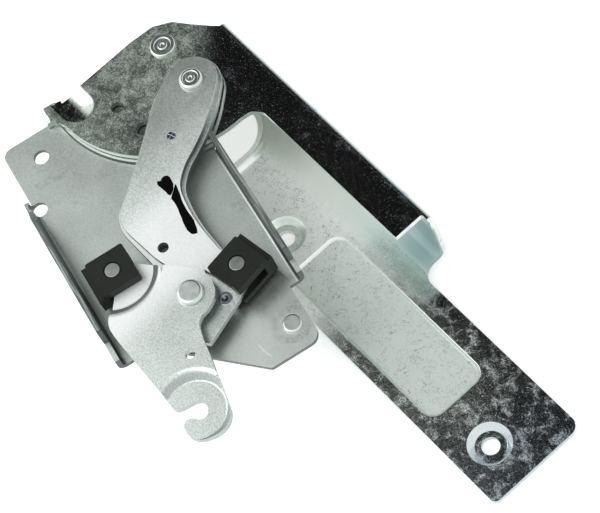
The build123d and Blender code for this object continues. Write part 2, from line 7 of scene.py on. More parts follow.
# %% Load the frame
from math import radians
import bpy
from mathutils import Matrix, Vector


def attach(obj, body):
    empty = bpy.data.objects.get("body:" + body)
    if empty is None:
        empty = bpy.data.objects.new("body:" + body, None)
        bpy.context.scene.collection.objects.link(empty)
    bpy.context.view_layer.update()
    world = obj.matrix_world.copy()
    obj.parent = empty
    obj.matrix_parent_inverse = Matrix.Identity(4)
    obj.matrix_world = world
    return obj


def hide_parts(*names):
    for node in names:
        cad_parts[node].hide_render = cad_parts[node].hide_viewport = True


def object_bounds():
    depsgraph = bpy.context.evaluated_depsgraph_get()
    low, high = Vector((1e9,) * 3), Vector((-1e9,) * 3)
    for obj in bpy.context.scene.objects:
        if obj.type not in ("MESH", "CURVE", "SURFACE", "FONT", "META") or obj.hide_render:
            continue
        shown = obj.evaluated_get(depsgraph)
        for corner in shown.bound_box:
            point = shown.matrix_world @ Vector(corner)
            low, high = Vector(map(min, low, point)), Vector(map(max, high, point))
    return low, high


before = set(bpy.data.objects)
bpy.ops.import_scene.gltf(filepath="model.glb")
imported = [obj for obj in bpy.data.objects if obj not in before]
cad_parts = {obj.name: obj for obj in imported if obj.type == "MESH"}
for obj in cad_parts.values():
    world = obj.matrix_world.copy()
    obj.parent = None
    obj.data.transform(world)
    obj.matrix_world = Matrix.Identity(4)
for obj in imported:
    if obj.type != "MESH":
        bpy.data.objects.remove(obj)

from types import SimpleNamespace

import bmesh
import bpy
from mathutils import Matrix, Vector

cad_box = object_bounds()
scene = bpy.context.scene
print("CAD box in mm:", [[round(c * 1000, 1) for c in corner] for corner in cad_box])

# %% [markdown]
# ## The camera
# The photograph looks down on the hinge from about 61 degrees, through a long lens, so the lines
# hardly converge. A camera can be aimed with a constraint, but here its three axes are written
# out, because the picture is also turned: the arm runs from the upper left to the lower right.

# %% Camera
EYE = Vector((0.531703, -0.073192, 0.787925))
PICTURE_RIGHT = Vector((0.630085, 0.742972, -0.225799))
PICTURE_UP = Vector((-0.619863, 0.656377, 0.430045))
SENSOR_MM = 36.0
LENS_MM = 142.14

camera_data = bpy.data.cameras.new("photo_camera")
camera_data.sensor_fit = "HORIZONTAL"
camera_data.sensor_width = SENSOR_MM
camera_data.lens = LENS_MM
camera = bpy.data.objects.new("photo_camera", camera_data)
toward_eye = PICTURE_RIGHT.cross(PICTURE_UP)
turned = Matrix((PICTURE_RIGHT, PICTURE_UP, toward_eye)).transposed().to_4x4()
camera.matrix_world = Matrix.Translation(EYE) @ turned
scene.collection.objects.link(camera)
scene.camera = camera
scene.view_settings.view_transform = "Standard"
print("camera height in mm:", round(EYE.z * 1000))

# %% [markdown]
# ## Sums on shader sockets
# A finish is a small sum: so much grain, less where the sheet is rubbed, more near an edge.
# Such sums can be wired by hand from Math nodes, but they read better as Python expressions.
# One class wraps a socket and adds the Math nodes.

# %% Shader sums
class Shade:
    """A shader socket that can be used in sums."""

    def __init__(self, finish, socket):
        self.finish, self.socket = finish, socket

    def sum(self, operation, first, second=0.0):
        return self.finish.node("ShaderNodeMath", {"operation": operation}, {0: first, 1: second})

    def __add__(self, other):
        return self.sum("ADD", self, other)

    __radd__ = __add__

    def __sub__(self, other):
        return self.sum("SUBTRACT", self, other)

    def __rsub__(self, other):
        return self.sum("SUBTRACT", other, self)

    def __mul__(self, other):
        return self.sum("MULTIPLY", self, other)

    __rmul__ = __mul__

    def __abs__(self):
        return self.sum("ABSOLUTE", self)


print("sums ready:", Shade.__name__)

# %% [markdown]
# ## Nodes by name
# The other nodes come from one method that takes a node's type, its settings and its sockets.
# The methods below it are the few shapes that every finish needs: noise of a size in
# millimetres, a smooth step, a mask for leaning faces, and a mix of two colours.

# %% Node trees
class Finish:
    """The node tree of a material or of the world."""

    def __init__(self, owner):
        owner.use_nodes = True
        self.owner = owner
        self.tree = owner.node_tree
        self.tree.nodes.clear()

    def node(self, kind, settings=None, sockets=None, out=0):
        made = self.tree.nodes.new(kind)
        for name, value in (settings or {}).items():
            setattr(made, name, value)
        for key, value in (sockets or {}).items():
            if isinstance(value, Shade):
                self.tree.links.new(value.socket, made.inputs[key])
            else:
                made.inputs[key].default_value = value
        return Shade(self, made.outputs[out]) if made.outputs else None

    def place(self):
        """The point on the part, in millimetres."""
        spot = self.node("ShaderNodeTexCoord", out=3)
        return self.node("ShaderNodeVectorMath", {"operation": "SCALE"}, {0: spot, "Scale": 1000.0})

    def axes(self, place):
        split = self.node("ShaderNodeSeparateXYZ", sockets={0: place}).socket.node
        return [Shade(self, split.outputs[i]) for i in range(3)]

    def distance(self, place, centre):
        sockets = {0: place, 1: centre}
        return self.node("ShaderNodeVectorMath", {"operation": "DISTANCE"}, sockets, out=1)

    def noise(self, place, size, detail=2.0, roughness=0.5, warp=0.0):
        """Cloudy noise whose blobs are about size millimetres across."""
        sockets = {"Vector": place, "Scale": 1.0 / size, "Detail": detail, "Roughness": roughness,
                   "Distortion": warp}
        return self.node("ShaderNodeTexNoise", sockets=sockets)

    def rise(self, value, low, high):
        """0 below low, 1 above high, and a smooth step between them."""
        return self.node("ShaderNodeMapRange", {"interpolation_type": "SMOOTHSTEP"},
                         {"Value": value, "From Min": low, "From Max": high})

    def fall(self, value, low, high):
        """1 below low, 0 above high, and a smooth step between them."""
        return 1.0 - self.rise(value, low, high)

    def tilted(self, low, high):
        """0 on flat sheet, 1 where the face leans so far that its upward part is below low."""
        facing = self.axes(self.node("ShaderNodeNewGeometry", out=1))[2]
        return self.fall(abs(facing), low, high)

    def mix(self, factor, first, second):
        sockets = {0: factor, 6: first, 7: second}
        return self.node("ShaderNodeMix", {"data_type": "RGBA"}, sockets, out=2)

    def bump(self, height, strength, depth):
        sockets = {"Height": height, "Strength": strength, "Distance": depth}
        return self.node("ShaderNodeBump", sockets=sockets)

    def surface(self, sockets):
        shader = self.node("ShaderNodeBsdfPrincipled", sockets=sockets)
        self.node("ShaderNodeOutputMaterial", sockets={"Surface": shader})


def tone(red, green, blue):
    """A colour in screen values, as the linear colour that shaders use."""
    return tuple((c / 255) ** 2.2 for c in (red, green, blue)) + (1.0,)


print("node trees ready:", Finish.__name__)

# %% [markdown]
# ## The studio
# Bright metal shows whatever stands round it. The room is white, with one dim screen high on the
# far side, as a black card is hung where a polished face would only mirror white. Polished sheet
# that faces up then turns dark, and satin sheet, which blurs the edge of the card, stays pale.
# The screen fades out towards the horizon, so the strip's outer bend runs from black to white.

# %% World
ROOM_WHITE = (0.98, 0.99, 1.0, 1.0)
SCREEN_DIMMING = 0.994
SCREEN_MIDDLE = 0.6

studio = bpy.data.worlds.new("studio")
scene.world = studio
room = Finish(studio)
east, north, up = room.axes(room.node("ShaderNodeTexCoord"))
screen = room.rise(north, -0.05, 0.14) * room.fall(north, 0.55, 0.95) * room.rise(up, 0.02, 0.34)
screen = screen * room.fall(abs(east + SCREEN_MIDDLE), 0.34, 0.68)
strength = 1.0 - SCREEN_DIMMING * screen
shine = room.node("ShaderNodeBackground", sockets={"Color": ROOM_WHITE, "Strength": strength})
room.node("ShaderNodeOutputWorld", sockets={"Surface": shine})
print("studio nodes:", len(studio.node_tree.nodes))

# %% [markdown]
# ## The lamp
# The shadows in the photograph fall to the right, and their edges are soft.
# A sun would cut them hard, so one large area lamp stands high on the left. Its size also keeps
# it gentle: the same light from a small lamp would burn white spots into the polished sheet.

# %% Lamp
LAMP_SPOT = Vector((-0.38, -0.62, 1.0))
LAMP_AIM = Vector((0.1, 0.03, 0.0))
LAMP_SIZE = 1.4
LAMP_WATTS = 6.8

lamp_data = bpy.data.lights.new("key_lamp", "AREA")
lamp_data.shape = "DISK"
lamp_data.size = LAMP_SIZE
lamp_data.energy = LAMP_WATTS
key_lamp = bpy.data.objects.new("key_lamp", lamp_data)
key_lamp.location = LAMP_SPOT
key_lamp.rotation_euler = (LAMP_SPOT - LAMP_AIM).to_track_quat("Z", "Y").to_euler()
scene.collection.objects.link(key_lamp)
print("lamp:", key_lamp.name, LAMP_WATTS, "W")

# %% [markdown]
# ## The floor
# The hinge lies on white paper. The floor is a plain sheet under its lowest point.
# A little glow for the camera and for mirrors keeps the paper white, and the rest of its light
# still comes from the lamp and the room, so the shadow stays.

# %% Floor
PAPER_GLOW = 0.45
PAPER_GREY = (0.86, 0.86, 0.86, 1.0)
PAPER_HALF_SIDE = 3.0
PAPER_GAP = 0.0003

paper = Finish(bpy.data.materials.new("white_paper"))
ray = paper.node("ShaderNodeLightPath").socket.node
seen = Shade(paper, ray.outputs["Is Camera Ray"]) + Shade(paper, ray.outputs["Is Glossy Ray"])
seen = seen + Shade(paper, ray.outputs["Is Transmission Ray"])
glow = paper.node("ShaderNodeEmission", sockets={"Strength": seen * PAPER_GLOW})
matt = paper.node("ShaderNodeBsdfDiffuse", sockets={"Color": PAPER_GREY})
both = paper.node("ShaderNodeAddShader", sockets={0: glow, 1: matt})
paper.node("ShaderNodeOutputMaterial", sockets={"Surface": both})

sheet = bmesh.new()
bmesh.ops.create_grid(sheet, x_segments=1, y_segments=1, size=PAPER_HALF_SIDE)
paper_middle = (LAMP_AIM.x, LAMP_AIM.y, cad_box[0].z - PAPER_GAP)
bmesh.ops.translate(sheet, vec=paper_middle, verts=sheet.verts)
floor_mesh = bpy.data.meshes.new("paper_floor")
sheet.to_mesh(floor_mesh)
sheet.free()
floor_mesh.materials.append(paper.owner)
floor = bpy.data.objects.new("paper_floor", floor_mesh)
scene.collection.objects.link(floor)
print("floor at z in mm:", round(floor_mesh.vertices[0].co.z * 1000, 2))

# %% [markdown]
# ## Zones of the door arm
# The arm is pressed from one zinc-plated sheet, and each part of it has its own wear. The strip
# on top is almost polished, the disc is scuffed by the lever, the tray and its panel are dull
# from the press, and the far end is rubbed bright. Separate materials would leave hard seams, so
# each zone is a mask between 0 and 1 that fades between two places, given in millimetres.

# %% Zinc zones
TRAY_TO_TOP = (-6.0, 0.0)
DISC_TO_STRIP = (88.0, 112.0)
STRIP_BEND = (86.6, 89.2)
PANEL_RIM = (-24.9, -24.2)
PANEL_FAR = (188.0, 190.0)
MARGIN_EDGE = (37.8, 39.4)
MARGIN_START = (126.0, 152.0)
WORN_START = (154.0, 212.0)
WORN_EDGE = (77.5, 80.0)


def zinc_zones(zinc, x, y, z, cloud, patchy):
    """Masks for the arm's flat parts."""
    high = zinc.rise(z, *TRAY_TO_TOP)
    low = 1.0 - high
    strip = high * zinc.rise(x + y + patchy * 16.0, *DISC_TO_STRIP)
    panel = zinc.fall(z, *PANEL_RIM) * zinc.fall(x, *PANEL_FAR)
    margin = zinc.fall(y, *MARGIN_EDGE) * zinc.rise(x + cloud * 20.0, *MARGIN_START)
    worn = zinc.rise(x + y * 0.6 + cloud * 40.0, *WORN_START) * zinc.fall(y, *WORN_EDGE)
    rubbed = low * (1.0 - panel) * (worn + margin - worn * margin)
    return SimpleNamespace(low=low, strip=strip, disc=high - strip, panel=panel, rubbed=rubbed,
                           dull=low - rubbed, outer=strip * zinc.rise(y, *STRIP_BEND))


print("zones ready:", zinc_zones.__name__)

# %% [markdown]
# ## The web, the bends and the cut edges
# The web stands between the tray and the strip. Its colours are painted light and shade: painted
# shade in grey near the disc, painted light with a pale blue painted reflection in the middle, and
# painted shade in teal at its far end. Dirt lies in the tray between the web and the panel. Places
# alone can't find the bends and the cut edges, so two masks also ask how far a face leans. The cut
# edges are darkened, partly as their own sheared tone and partly as painted shade.

# %% Zinc bends
WEB_OUTSIDE = (88.6, 89.4)
WALL_FOOT = (66.0, 76.0)
WALL_FAR = (130.0, 142.0)
TEAL_SHADE_FOOT = (76.5, 80.5)
TEAL_SHADE_START = (106.0, 134.0)
BESIDE_EDGE = (38.0, 46.0)
BESIDE_FAR = (184.0, 206.0)
DIRT_EDGE = (66.2, 67.4)
DIRT_FOOT = (73.0, 79.0)
DIRT_START = (116.0, 142.0)
DIRT_FAR = (150.0, 172.0)
BEFORE_WEB = (70.0, 76.0)
LEANING = (0.85, 0.99)
CUT_EDGE = (0.3, 0.75)


def zinc_bends(zinc, zone, x, y, patchy):
    """Adds the masks of the web, the dirt and the faces that lean."""
    inside = zinc.fall(y, *WEB_OUTSIDE)
    # Mask of the web band that gets painted light, a painted reflection and painted shade.
    zone.wall = zinc.rise(y, *WALL_FOOT) * zinc.fall(x, *WALL_FAR) * zone.low * inside
    # Mask of the painted shade in teal at the web's far end.
    zone.teal = zinc.rise(y, *TEAL_SHADE_FOOT) * zinc.rise(x, *TEAL_SHADE_START) * zone.low * inside
    zone.beside = zinc.rise(y, *BESIDE_EDGE) * zinc.fall(y, *WALL_FOOT) * zinc.fall(x, *BESIDE_FAR)
    zone.lean = zinc.tilted(*LEANING) * zinc.fall(y, *BEFORE_WEB)
    # Mask of the cut edges, whose darker tone is partly their own sheared zinc and partly painted
    # shade.
    zone.cut = zinc.tilted(*CUT_EDGE) * zinc.fall(y, *BEFORE_WEB)
    dirt = zinc.rise(y, *DIRT_EDGE) * zinc.fall(y, *DIRT_FOOT)
    dirt = dirt * zinc.rise(x + patchy * 30.0, *DIRT_START)
    zone.dirt = dirt * zone.low * zinc.fall(x, *DIRT_FAR) * (1.0 - zone.lean)


print("bends ready:", zinc_bends.__name__)

# %% [markdown]
# ## Wear on the zinc
# Handling leaves fine grain, dust, greasy smears and hair-thin curved scuffs. A noise gives the
# grain, and its highest points give the dust. The scuffs are the thin lines where a warped noise
# passes through its middle value, which is cheaper than drawing them one by one.

# %% Zinc wear
def zinc_wear(zinc, spot, cloud, patchy):
    grain = zinc.noise(spot, 0.7, 4.0, 0.75)
    scuff_a = zinc.rise(abs(zinc.noise(spot, 4.2, 2.0, 0.55, 1.4) - 0.5), 0.0, 0.014)
    scuff_b = zinc.rise(abs(zinc.noise(spot, 6.5, 3.0, 0.6, 2.0) - 0.5), 0.0, 0.012)
    return SimpleNamespace(
        grain=grain, grains=zinc.rise(grain, 0.34, 0.68), dust=zinc.rise(grain, 0.54, 0.68),
        scuffs=(1.0 - scuff_a * scuff_b) * zinc.rise(patchy, 0.34, 0.58),
        specks=zinc.rise(zinc.noise(spot, 0.5, 2.0, 0.7), 0.6, 0.8),
        smear=zinc.rise(cloud, 0.48, 0.68) * zinc.rise(patchy, 0.4, 0.62))


print("wear ready:", zinc_wear.__name__)

# %% [markdown]
# ## How rough the zinc is
# Roughness decides how dark the sheet looks here: a smooth zone mirrors the dim screen, and a
# rough one blurs it with the white room. So each zone gets a base value, and the wear adds to it.

# %% Zinc roughness
STRIP_ROUGH = 0.07
DISC_ROUGH = 0.08
RUBBED_ROUGH = 0.05
DULL_ROUGH = 0.5
DISC_FADE = (28.0, 54.0)


def zinc_roughness(zinc, zone, wear, y, patchy):
    handled = STRIP_ROUGH + wear.smear * 0.1 + wear.dust * 0.13 + wear.specks * 0.22
    scuffed = DISC_ROUGH + wear.grains * 0.15 + zinc.rise(patchy, 0.3, 0.7) * 0.13
    scuffed = scuffed + wear.scuffs * 0.07
    worn = RUBBED_ROUGH + zone.beside * 0.04 + wear.grains * 0.12 + wear.specks * 0.36
    worn = worn + wear.scuffs * 0.16
    rough = zone.strip * handled + zone.outer * 0.14
    rough = rough + zone.disc * scuffed
    rough = rough + zone.disc * (zinc.rise(y, *DISC_FADE) - 0.6) * 0.08
    rough = rough + zone.rubbed * worn
    rough = rough + zone.rubbed * zinc.rise(patchy, 0.45, 0.7) * 0.16
    rough = rough + zone.dull * (DULL_ROUGH - zone.lean * 0.22)
    return rough + zone.cut * 0.1


print("roughness ready:", zinc_roughness.__name__)

# %% [markdown]
# ## The zinc's colours
# Zinc plate is not one grey: it leans to green on the disc and to blue at the far end. Some lines
# are painted light and shade: the lift of the shaded tray to near white, the lightened upper end
# of the panel, the pale, blue and grey on the web, the teal at its far end and the darker cut
# edges. Each line mixes one tint over the colours before it, by a zone's mask, so the later lines
# lie on top like thin coats.

# %% Zinc colours
# Where the panel turns from painted light at its upper end to its own darker tone.
PANEL_PAINTED_LIGHT_FADE = (104.0, 140.0)
FAR_END = (190.0, 215.0)
# Where the web's pale blue painted reflection and its grey painted shade fade in.
WALL_PAINTED_REFLECTION = (84.0, 128.0)
WALL_PAINTED_SHADE = (52.0, 76.0)


def zinc_colour(zinc, zone, wear, x, cloud):
    down_panel = zinc.rise(x, *PANEL_PAINTED_LIGHT_FADE)
    flat = 1.0 - zone.lean
    flat_disc = zone.disc * (1.0 - zinc.tilted(*LEANING))
    coats = (
        (flat_disc * 0.5, tone(206, 226, 208)),
        (zone.rubbed * zinc.rise(x, *FAR_END) * 0.5, tone(206, 216, 234)),
        # Pale press dust, raised to near white as painted light against the tray's shade.
        ((zone.dull - zone.panel) * 0.85, tone(252, 255, 252)),
        # Painted light on the panel's upper end, which lies in shade.
        (zone.panel * (1.0 - down_panel) * 0.3, tone(250, 255, 249)),
        (zone.panel * flat * down_panel * 0.7, tone(184, 194, 187)),
        (zone.dull * wear.scuffs * (1.0 - zone.wall) * flat * 0.8, tone(108, 115, 110)),
        (zone.strip * wear.smear * 0.6, tone(176, 188, 226)),
        # Painted light on the web and the tray floor before it.
        (zone.wall * 0.6, tone(228, 234, 226)),
        # Painted reflection, pale blue, along the middle of the web.
        (zone.wall * zinc.rise(x, *WALL_PAINTED_REFLECTION) * 0.5, tone(206, 234, 238)),
        # Painted shade, grey, near the web's start at the disc.
        (zone.wall * zinc.fall(x, *WALL_PAINTED_SHADE) * 0.5, tone(176, 184, 172)),
        (zone.dirt * (0.1 + wear.grains * 0.6), tone(104, 114, 110)),
        # Painted shade in teal at the web's far end.
        (zone.teal * 0.85, tone(130, 162, 160)),
        # Cut edges: partly their own darker sheared tone, partly painted shade.
        (zone.cut * 0.3, tone(120, 126, 122)),
    )
    colour = zinc.mix(wear.grains * 0.6 + cloud * 0.4, tone(204, 213, 206), tone(240, 246, 241))
    for share, tint in coats:
        colour = zinc.mix(share, colour, tint)
    return colour


print("colours ready:", zinc_colour.__name__)

# %% [markdown]
# ## Bright zinc on the door arm
# The zones, the wear, the roughness and the colours now meet in one material. The dull tray is
# only partly metal, because a film of press dust scatters light like paint.

# %% Zinc finish
def zinc_finish():
    zinc = Finish(bpy.data.materials.new("bright_zinc"))
    spot = zinc.place()
    x, y, z = zinc.axes(spot)
    cloud = zinc.noise(spot, 13.0, 4.0, 0.6)
    patchy = zinc.noise(spot, 5.0, 4.0, 0.65, 0.6)
    zone = zinc_zones(zinc, x, y, z, cloud, patchy)
    zinc_bends(zinc, zone, x, y, patchy)
    wear = zinc_wear(zinc, spot, cloud, patchy)
    zinc.surface({
        "Base Color": zinc_colour(zinc, zone, wear, x, cloud),
        "Metallic": 1.0 - zone.dull * (1.0 - zone.lean) * 0.85,
        "Roughness": zinc_roughness(zinc, zone, wear, y, patchy),
        "Normal": zinc.bump(wear.grain * 0.7 + cloud * 0.3, 0.2, 0.00004)})
    return zinc.owner


bright_zinc = zinc_finish()
print("finish:", bright_zinc.name, len(bright_zinc.node_tree.nodes), "nodes")

# %% [markdown]
# ## Satin zinc
# The bracket, the levers and the washers are matt, with soft clouds and a fine speckle. Satin
# metal is a high roughness on a metal, with the speckle in the colour, the roughness and a very
# low bump. A start function makes what both satin finishes share, and an end function joins the
# sockets. The end function also darkens leaning faces, partly as the sheared edges' own tone and
# partly as painted shade.

# %% Satin base
# Leaning faces turn this grey: partly the sheared edges' own tone, partly painted shade.
EDGE_GREY_AND_SHADE = tone(72, 79, 82)
EDGE_SHARE = 0.8
ROUGHER_FROM = (20.0, 60.0)
ROUGHER_TO = (80.0, 110.0)


def satin_start(name, dark, pale, rough, speckle):
    satin = Finish(bpy.data.materials.new(name))
    spot = satin.place()
    x, y, z = satin.axes(spot)
    cloud = satin.noise(spot, 18.0, 3.0, 0.55)
    fine = satin.noise(spot, 0.6, 3.0, 0.7)
    dots = satin.rise(fine, 0.34, 0.66)
    middle = satin.rise(x, *ROUGHER_FROM) - satin.rise(x, *ROUGHER_TO) * 0.9
    roughness = rough + (cloud - 0.5) * 0.16 + (dots - 0.5) * 0.08 + middle * 0.14
    colour = satin.mix(cloud * (1.0 - speckle) + dots * speckle, dark, pale)
    return SimpleNamespace(satin=satin, spot=spot, x=x, y=y, z=z, fine=fine, roughness=roughness,
                           colour=colour, lean=satin.tilted(0.75, 0.97))


def satin_end(base):
    # Leaning faces darken, partly as sheared edges and partly as painted shade.
    colour = base.satin.mix(base.lean * EDGE_SHARE, base.colour, EDGE_GREY_AND_SHADE)
    base.satin.surface({"Base Color": colour, "Metallic": 1.0,
                        "Roughness": base.roughness + base.lean * 0.2,
                        "Normal": base.satin.bump(base.fine, 0.16, 0.00003)})
    return base.satin.owner


print("satin base ready:", satin_start.__name__, satin_end.__name__)

# %% [markdown]
# ## The bracket's marks
# The bracket has a rubbed ring round its foot rivet, one bright curved scratch, smudges, and
# streaks along the sheared tops of its flanges. Its turntable carries painted shade under the arm's
# disc, and its foot end is lightened with painted light. The ring and the scratch are bands of
# distance from a point. The streaks are noise stretched along the flanges.

# %% Bracket finish
FOOT_RIVET = (130.41, 24.24, 2.0)
RING_RADIUS = 6.6
SCRATCH_RADIUS = 14.6
SCRATCH_FROM = (127.0, 128.0)
SCRATCH_TO = (134.4, 135.2)
SCRATCH_SIDE = (11.5, 12.5)
HINGE_AXIS = (0.25, 65.76, 3.0)
UNDER_DISC_EDGE = (44.0, 47.0)
TURNTABLE_FACE = (2.5, 2.9)
FLANGE_TOP = (15.0, 15.6)
FLANGE_TURN = radians(-11)
STREAK_STRETCH = (30.0, 1.0, 30.0)
# Where painted light lifts the foot end, which lies in the shade of the blocks and the lever.
FOOT_PAINTED_LIGHT_START = (100.0, 122.0)


def bracket_finish():
    base = satin_start("bracket_zinc", tone(168, 177, 170), tone(212, 220, 214), 0.36, 0.4)
    satin, spot, x, y, z = base.satin, base.spot, base.x, base.y, base.z
    from_rivet = satin.distance(spot, FOOT_RIVET)
    ring = satin.fall(abs(from_rivet - RING_RADIUS), 0.9, 2.0)
    line = satin.fall(abs(from_rivet - SCRATCH_RADIUS), 0.12, 0.34)
    reach = satin.rise(x, *SCRATCH_FROM) * satin.fall(x, *SCRATCH_TO)
    scratch = line * reach * satin.fall(y, *SCRATCH_SIDE)
    from_axis = satin.distance(spot, HINGE_AXIS)
    # Painted shade, near black, on the turntable face under the arm's disc.
    painted_shade_under_disc = satin.fall(from_axis, *UNDER_DISC_EDGE) * satin.rise(z, *TURNTABLE_FACE)
    sockets = {"Vector": spot, "Rotation": (0.0, 0.0, FLANGE_TURN), "Scale": STREAK_STRETCH}
    along = satin.node("ShaderNodeMapping", {"vector_type": "TEXTURE"}, sockets)
    streaks = satin.rise(satin.noise(along, 0.7, 2.0, 0.6), 0.45, 0.62)
    smudge = satin.rise(satin.noise(spot, 8.0, 4.0, 0.7), 0.55, 0.75)
    shear = satin.rise(z, *FLANGE_TOP) * (1.0 - streaks * 0.7)
    coats = (
        # Painted light on the foot end.
        (satin.rise(x, *FOOT_PAINTED_LIGHT_START) * 0.45, tone(238, 245, 240)),
        (smudge * 0.3, tone(128, 136, 128)),
        # Painted shade under the arm's disc.
        (painted_shade_under_disc * 0.85, tone(62, 66, 62)),
        (shear * 0.9, tone(92, 99, 96)),
        (scratch * 0.9, tone(246, 248, 246)),
    )
    for share, tint in coats:
        base.colour = satin.mix(share, base.colour, tint)
    base.roughness = base.roughness - ring * 0.04
    return satin_end(base)


bracket_zinc = bracket_finish()
print("finish:", bracket_zinc.name, len(bracket_zinc.node_tree.nodes), "nodes")

# %% [markdown]
# ## The levers' shading
# The levers carry painted shade at the crank end and painted light in the middle. Their edges carry
# painted shade along the middle, weaker towards the hook and none at the crank, so the mask for
# leaning faces is scaled along the lever.

# %% Lever finish
# Painted shade at the crank end.
CRANK_PAINTED_SHADE = (24.0, 52.0)
# Where the painted shade along the lever's edges starts and where it weakens.
PAINTED_SHADE_EDGE_FROM = (38.0, 48.0)
PAINTED_SHADE_EDGE_TO = (84.0, 92.0)
ROUGH_FROM = (40.0, 62.0)
ROUGH_TO = (84.0, 100.0)
# Painted light in the middle of the lever.
PAINTED_LIGHT_FROM = (48.0, 66.0)
PAINTED_LIGHT_TO = (88.0, 104.0)


def lever_finish():
    base = satin_start("lever_zinc", tone(180, 190, 184), tone(240, 247, 243), 0.34, 0.65)
    satin, x = base.satin, base.x
    # Painted shade on the edges along the middle of the lever.
    base.lean = base.lean * (satin.rise(x, *PAINTED_SHADE_EDGE_FROM) - satin.rise(x, *PAINTED_SHADE_EDGE_TO) * 0.55)
    rougher = satin.rise(x, *ROUGH_FROM) - satin.rise(x, *ROUGH_TO)
    base.roughness = base.roughness + rougher * 0.12
    middle = satin.rise(x, *PAINTED_LIGHT_FROM) - satin.rise(x, *PAINTED_LIGHT_TO)
    # Painted shade at the crank end.
    base.colour = satin.mix(satin.fall(x, *CRANK_PAINTED_SHADE) * 0.4, base.colour, tone(150, 158, 150))
    # Painted light in the middle.
    base.colour = satin.mix(middle * 0.7, base.colour, tone(253, 255, 254))
    return satin_end(base)


lever_zinc = lever_finish()
print("finish:", lever_zinc.name, len(lever_zinc.node_tree.nodes), "nodes")

# %% [markdown]
# ## Rivets and pins
# The plain rivets are bright from the riveting tool. The two spun heads are smoother, and the
# clinch and the eyelet smoother still, so their rings and the cross show in dark and light. The
# block pins are ground and dull. One function makes all four finishes, with light clouds in the
# colour and the roughness.

# %% Rivet finishes
def rivet_finish(name, dark, pale, rough):
    rivet = Finish(bpy.data.materials.new(name))
    spot = rivet.place()
    cloud = rivet.noise(spot, 3.0, 3.0, 0.6)
    fine = rivet.noise(spot, 0.4, 2.0, 0.6)
    colour = rivet.mix(cloud * 0.6 + fine * 0.4, dark, pale)
    relief = rivet.bump(fine, 0.12, 0.00002)
    rivet.surface({"Base Color": colour, "Metallic": 1.0, "Roughness": rough + (cloud - 0.5) * 0.2,
                   "Normal": relief})
    return rivet.owner


rivet_steel = rivet_finish("rivet_steel", tone(184, 195, 190), tone(236, 242, 238), 0.3)
spun_steel = rivet_finish("spun_steel", tone(184, 195, 190), tone(236, 242, 238), 0.22)
clinch_steel = rivet_finish("clinch_steel", tone(164, 174, 190), tone(228, 234, 244), 0.12)
ground_steel = rivet_finish("ground_steel", tone(124, 130, 124), tone(176, 182, 176), 0.32)
print("finishes:", rivet_steel.name, spun_steel.name, clinch_steel.name, ground_steel.name)

# %% [markdown]
# ## Black plastic and felt-pen ink
# The slide blocks are moulded in black plastic with a faint olive tint and a dull skin.
# The lever also carries a felt-pen mark, and that ink is a dull film with thin streaks.

# %% Dark finishes
def plastic_finish():
    plastic = Finish(bpy.data.materials.new("block_plastic"))
    spot = plastic.place()
    cloud = plastic.noise(spot, 5.0, 3.0, 0.6)
    fine = plastic.noise(spot, 0.35, 2.0, 0.6)
    colour = plastic.mix(cloud * 0.6 + fine * 0.4, tone(16, 19, 15), tone(34, 39, 32))
    relief = plastic.bump(fine, 0.2, 0.00003)
    plastic.surface({"Base Color": colour, "Roughness": 0.42 + cloud * 0.15, "Normal": relief,
                     "Specular IOR Level": 0.28})
    return plastic.owner


def ink_finish():
    ink = Finish(bpy.data.materials.new("felt_ink"))
    spot = ink.place()
    streak = ink.noise(spot, 0.8, 3.0, 0.6)
    colour = ink.mix(ink.rise(streak, 0.45, 0.8), tone(2, 2, 2), tone(14, 15, 14))
    ink.surface({"Base Color": colour, "Roughness": 0.6, "Specular IOR Level": 0.06})
    return ink.owner


block_plastic = plastic_finish()
felt_ink = ink_finish()
print("finishes:", block_plastic.name, felt_ink.name)

# %% [markdown]
# ## Finding and rounding edges
# Stamped sheet never ends in a knife edge: a tumbled or plated edge is round by a few tenths
# of a millimetre, and that round is the thin line that outlines the plates in the photograph.
# A bevel modifier could do it, but bmesh lets one box of edges get a softer round than the rest.

# %% Edge helpers
SHARP_EDGE = radians(32)


def sharp_edges(shell, box=None):
    """Edges where two faces meet at a clear angle, inside a box in millimetres if one is given."""
    ends = [e for e in shell.edges if len(e.link_faces) == 2 and e.calc_face_angle() > SHARP_EDGE]
    if box is None:
        return ends
    low, high = (Vector(corner) / 1000 for corner in box)

    def within(point):
        return all(a < c < b for a, c, b in zip(low, point, high))

    return [e for e in ends if all(within(v.co) for v in e.verts)]


def round_edges(shell, ends, round_mm, segments):
    bmesh.ops.bevel(shell, geom=ends, offset=round_mm / 1000, offset_type="OFFSET", affect="EDGES",
                    segments=segments, profile=0.5, material=-1, clamp_overlap=True)


print("edges sharper than", round(SHARP_EDGE, 2), "rad are rounded")

# %% [markdown]
# ## Dressing a solid
# Each CAD solid is copied, its loose triangles are merged and joined into flat faces, and the
# sharp edges that are left are bevelled. The solid itself stays as it is, for the motion.
# Weighted normals then keep the wide faces flat, so only the rounds shade smoothly.

# %% Rounding helper
SAME_POINT = 1e-6
SAME_PLANE = radians(0.6)
SMOOTH_BELOW = radians(50)
SOFT_SEGMENTS = 3
EDGE_SEGMENTS = 2


